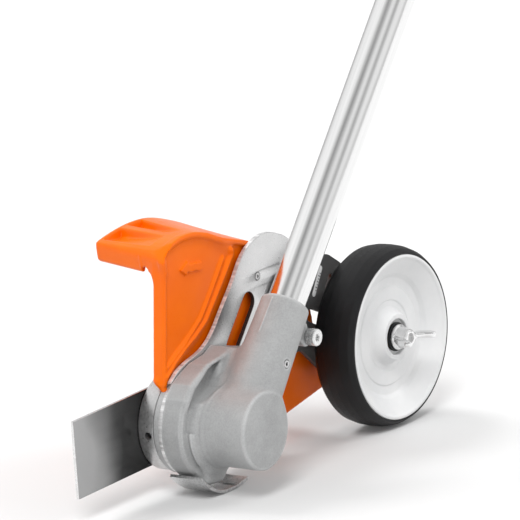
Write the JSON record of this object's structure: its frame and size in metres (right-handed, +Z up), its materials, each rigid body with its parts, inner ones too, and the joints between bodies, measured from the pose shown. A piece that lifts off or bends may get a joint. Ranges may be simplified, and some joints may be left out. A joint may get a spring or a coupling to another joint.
{
  "type": "lawn edger head",
  "caption": "Straight-shaft lawn edger head: angle gearbox on a drive tube with a flat blade, blade deflector, skid and height-adjustable guide wheel.",
  "frame": {"origin": "centre of the flat sole of the skid under the gearbox, on the ground", "axes": "+Z up, +X the way the tool is pushed, away from the wheel, and +Y the operator's left, from the blade to the outer face of the wheel; the tube leans back 40.3 degrees from +Z towards -X"},
  "size_m": [0.6823, 0.1243, 0.7292],
  "materials": {
    "cast_aluminium": "matt as-cast with a fine skin texture",
    "anodised_aluminium": "bright drawn and anodised",
    "plain_steel": "machined, lightly oiled",
    "zinc_plated_steel": "bright zinc plate with a cloudy shade",
    "blade_steel": "polished blade steel",
    "chrome_plate": "bright chrome",
    "orange_plastic": "satin-gloss moulded orange",
    "dark_paint": "satin dark grey coating",
    "white_plastic": "matt white moulding",
    "black_rubber": "satin black seals, bushes and washers",
    "tyre_rubber": "dull black tread rubber",
    "bronze": "sintered bearing bronze"
  },
  "bodies": {
    "gearbox": {"gearbox_housing": "cast_aluminium", "grease_plug": "zinc_plated_steel", "clamp_screw": "zinc_plated_steel", "bearing_cover": "cast_aluminium", "shaft_seal": "black_rubber", "cover_screw_1": "zinc_plated_steel", "cover_screw_2": "zinc_plated_steel", "cover_screw_3": "zinc_plated_steel", "cover_screw_4": "zinc_plated_steel", "cover_bearing_outer_race": "plain_steel", "nose_bearing_outer_race": "plain_steel", "pinion_bearing_lower_outer_race": "plain_steel", "pinion_bearing_upper_outer_race": "plain_steel", "pinion_circlip": "plain_steel", "drive_tube": "anodised_aluminium", "shaft_bush_lower": "black_rubber", "shaft_bush_middle": "black_rubber", "shaft_bush_upper": "black_rubber", "skid": "zinc_plated_steel", "skid_screw_1": "zinc_plated_steel", "skid_screw_2": "zinc_plated_steel", "mounting_plate": "zinc_plated_steel", "plate_screw_1": "zinc_plated_steel", "plate_screw_2": "zinc_plated_steel", "plate_screw_3": "zinc_plated_steel", "deflector": "orange_plastic", "deflector_screw_1": "zinc_plated_steel", "deflector_screw_2": "zinc_plated_steel", "deflector_screw_3": "zinc_plated_steel", "wheel_bracket": "dark_paint", "bracket_bolt_1": "zinc_plated_steel", "bracket_bolt_2": "zinc_plated_steel", "bracket_nut_1": "zinc_plated_steel", "bracket_nut_2": "zinc_plated_steel"},
    "blade_assembly": {"edger_blade": "blade_steel", "output_shaft": "plain_steel", "drive_key": "plain_steel", "crown_gear": "plain_steel", "thrust_collar": "zinc_plated_steel", "clamping_washer": "zinc_plated_steel", "blade_nut": "plain_steel", "cover_bearing_inner_race": "plain_steel", "nose_bearing_inner_race": "plain_steel"},
    "drive_shaft": {"drive_shaft": "plain_steel", "pinion_gear": "plain_steel", "pinion_bearing_lower_inner_race": "plain_steel", "pinion_bearing_upper_inner_race": "plain_steel"},
    "cover_bearing_cage": {"cover_bearing_ball_cage": "chrome_plate"},
    "nose_bearing_cage": {"nose_bearing_ball_cage": "chrome_plate"},
    "pinion_cage_lower": {"pinion_bearing_lower_ball_cage": "chrome_plate"},
    "pinion_cage_upper": {"pinion_bearing_upper_ball_cage": "chrome_plate"},
    "wheel_carriage": {"axle_bolt": "zinc_plated_steel", "axle_sleeve": "plain_steel", "inner_washer": "black_rubber", "outer_washer": "black_rubber"},
    "wheel": {"wheel_disc": "white_plastic", "tyre": "tyre_rubber", "wheel_bush": "bronze"},
    "wing_nut": {"wing_nut": "chrome_plate"}
  },
  "joints": [
    {"name": "blade_spin", "type": "hinge", "parent": "gearbox", "child": "blade_assembly", "pos_m": [0.0095, 0, 0.0457], "axis": [0, 1, 0], "continuous": true},
    {"name": "drive_shaft_spin", "type": "hinge", "parent": "gearbox", "child": "drive_shaft", "pos_m": [0.0095, 0.02825, 0.0457], "axis": [-0.6468, 0, 0.7627], "continuous": true},
    {"name": "cover_cage_spin", "type": "hinge", "parent": "gearbox", "child": "cover_bearing_cage", "pos_m": [0.0095, 0, 0.0457], "axis": [0, 1, 0], "continuous": true},
    {"name": "nose_cage_spin", "type": "hinge", "parent": "gearbox", "child": "nose_bearing_cage", "pos_m": [0.0095, 0, 0.0457], "axis": [0, 1, 0], "continuous": true},
    {"name": "pinion_cage_lower_spin", "type": "hinge", "parent": "gearbox", "child": "pinion_cage_lower", "pos_m": [0.0095, 0.02825, 0.0457], "axis": [-0.6468, 0, 0.7627], "continuous": true},
    {"name": "pinion_cage_upper_spin", "type": "hinge", "parent": "gearbox", "child": "pinion_cage_upper", "pos_m": [0.0095, 0.02825, 0.0457], "axis": [-0.6468, 0, 0.7627], "continuous": true},
    {"name": "wheel_height", "type": "slide", "parent": "gearbox", "child": "wheel_carriage", "axis": [0.9092, 0, 0.4163], "range_m": [-0.004, 0.052]},
    {"name": "wheel_spin", "type": "hinge", "parent": "wheel_carriage", "child": "wheel", "pos_m": [-0.1798, 0, 0.061], "axis": [0, 1, 0], "continuous": true},
    {"name": "wing_nut_turn", "type": "hinge", "parent": "wheel_carriage", "child": "wing_nut", "pos_m": [-0.1798, 0, 0.061], "axis": [0, 1, 0], "range_deg": [0, 720]}
  ],
  "couplings": [
    {"joint": "drive_shaft_spin", "follows": "blade_spin", "ratio": 1.4},
    {"joint": "cover_cage_spin", "follows": "blade_spin", "ratio": 0.406},
    {"joint": "nose_cage_spin", "follows": "blade_spin", "ratio": 0.413},
    {"joint": "pinion_cage_lower_spin", "follows": "blade_spin", "ratio": 0.535},
    {"joint": "pinion_cage_upper_spin", "follows": "blade_spin", "ratio": 0.535}
  ]
}
